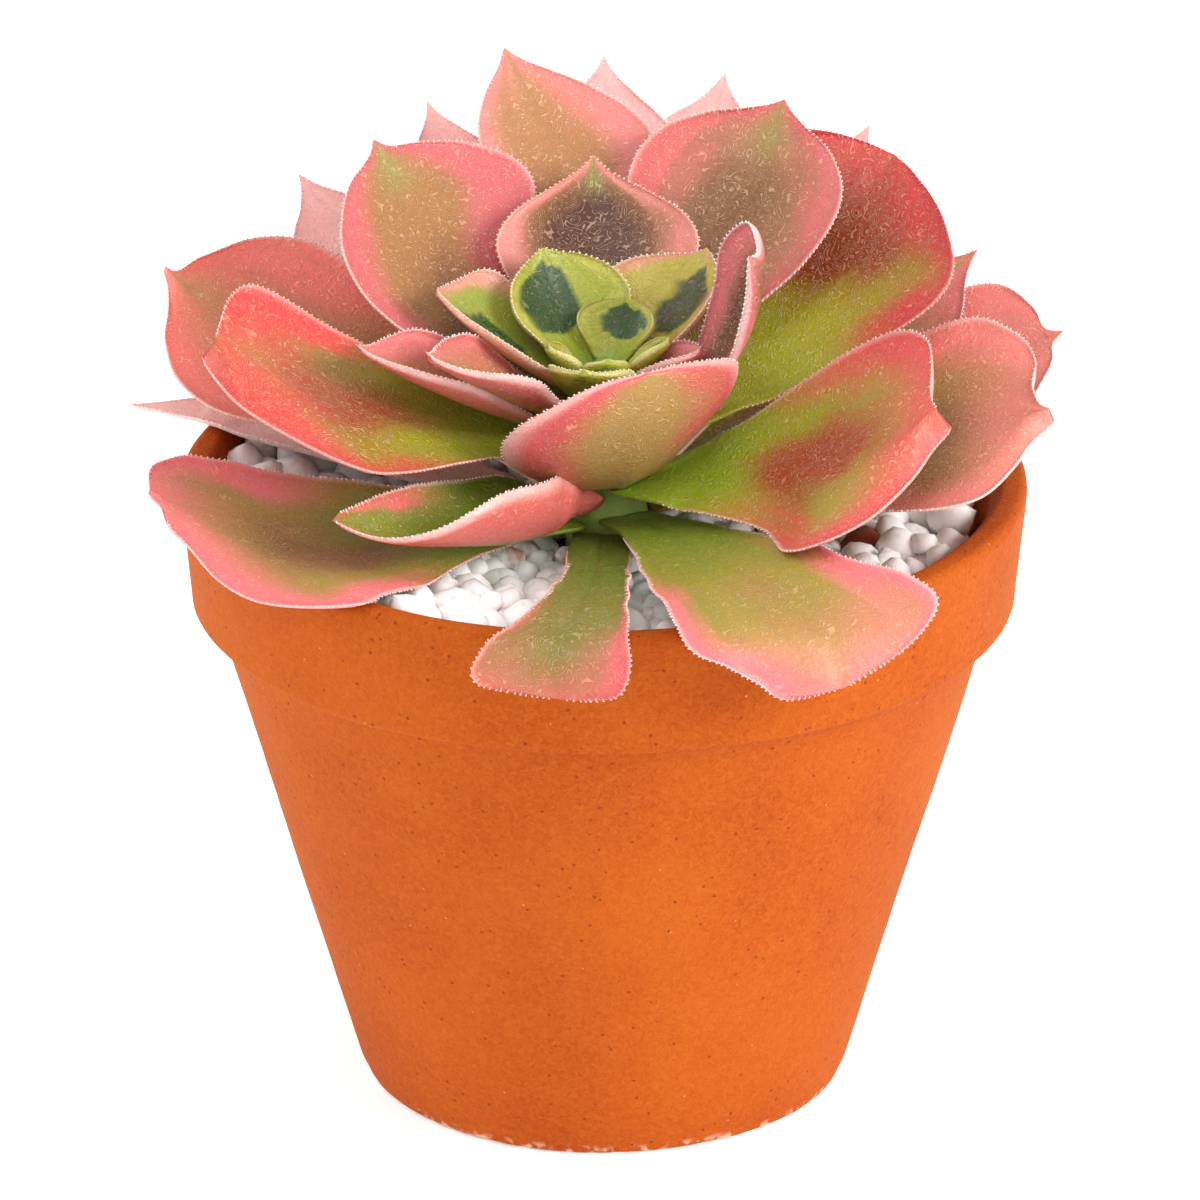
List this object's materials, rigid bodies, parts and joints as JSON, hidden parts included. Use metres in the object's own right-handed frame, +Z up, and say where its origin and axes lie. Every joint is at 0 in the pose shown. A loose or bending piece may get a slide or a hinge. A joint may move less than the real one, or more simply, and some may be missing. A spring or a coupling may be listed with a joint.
{
  "type": "potted succulent",
  "caption": "Rosette succulent with broad rose-edged green leaves, rooted in a tapered terracotta pot with a collar, topped with white gravel.",
  "frame": {"origin": "centre of the pot's base, on the surface that the pot stands on", "axes": "+Z up along the pot's axis; -Y is the plant's front, where two leaves hang over the rim; +X is the plant's right-hand side as the front faces the viewer"},
  "size_m": [0.1651, 0.1704, 0.1715],
  "materials": {
    "terracotta": "matt fired clay, fine sandy grain",
    "soil": "dark crumbly potting soil",
    "gravel": "matt white tumbled stones",
    "stem": "smooth green stem",
    "leaf_pale_rose": "satin fleshy leaf, pale rose",
    "leaf_rose": "satin fleshy leaf, rose margins on a green base",
    "leaf_red": "satin fleshy leaf, red margins on a green base",
    "leaf_olive": "satin fleshy leaf, green to olive with rose ends",
    "leaf_green": "satin young leaf, green with yellow margins"
  },
  "bodies": {
    "root": {"flower_pot": "terracotta", "potting_soil": "soil", "gravel_bed": "gravel", "stem": "stem", "front_small_leaf": "leaf_olive", "left_far_leaf": "leaf_pale_rose", "back_low_right_leaf": "leaf_pale_rose", "back_low_left_leaf": "leaf_pale_rose", "right_far_leaf": "leaf_rose", "front_left_leaf": "leaf_olive", "front_right_leaf": "leaf_olive", "back_left_low_leaf": "leaf_pale_rose", "back_right_low_leaf": "leaf_rose", "left_curled_leaf": "leaf_rose", "right_low_leaf": "leaf_rose", "back_left_leaf": "leaf_pale_rose", "back_right_leaf": "leaf_pale_rose", "back_mid_left_leaf": "leaf_pale_rose", "back_mid_right_leaf": "leaf_pale_rose", "back_mid_leaf": "leaf_pale_rose", "right_front_leaf": "leaf_red", "left_out_leaf": "leaf_rose", "left_front_leaf": "leaf_red", "right_broad_leaf": "leaf_red", "top_left_leaf": "leaf_rose", "upper_right_leaf": "leaf_rose", "upper_left_leaf": "leaf_rose", "front_cup_leaf": "leaf_rose", "left_fold_low_leaf": "leaf_rose", "left_fold_high_leaf": "leaf_rose", "right_fold_leaf": "leaf_rose", "centre_back_leaf": "leaf_rose", "left_inner_leaf": "leaf_green", "right_inner_leaf": "leaf_green", "pink_inner_leaf": "leaf_rose", "heart_front_leaf": "leaf_green", "heart_left_leaf": "leaf_green", "heart_middle_leaf": "leaf_green", "bud_left_leaf": "leaf_green", "bud_front_leaf": "leaf_green", "bud_right_leaf": "leaf_green"}
  },
  "joints": []
}
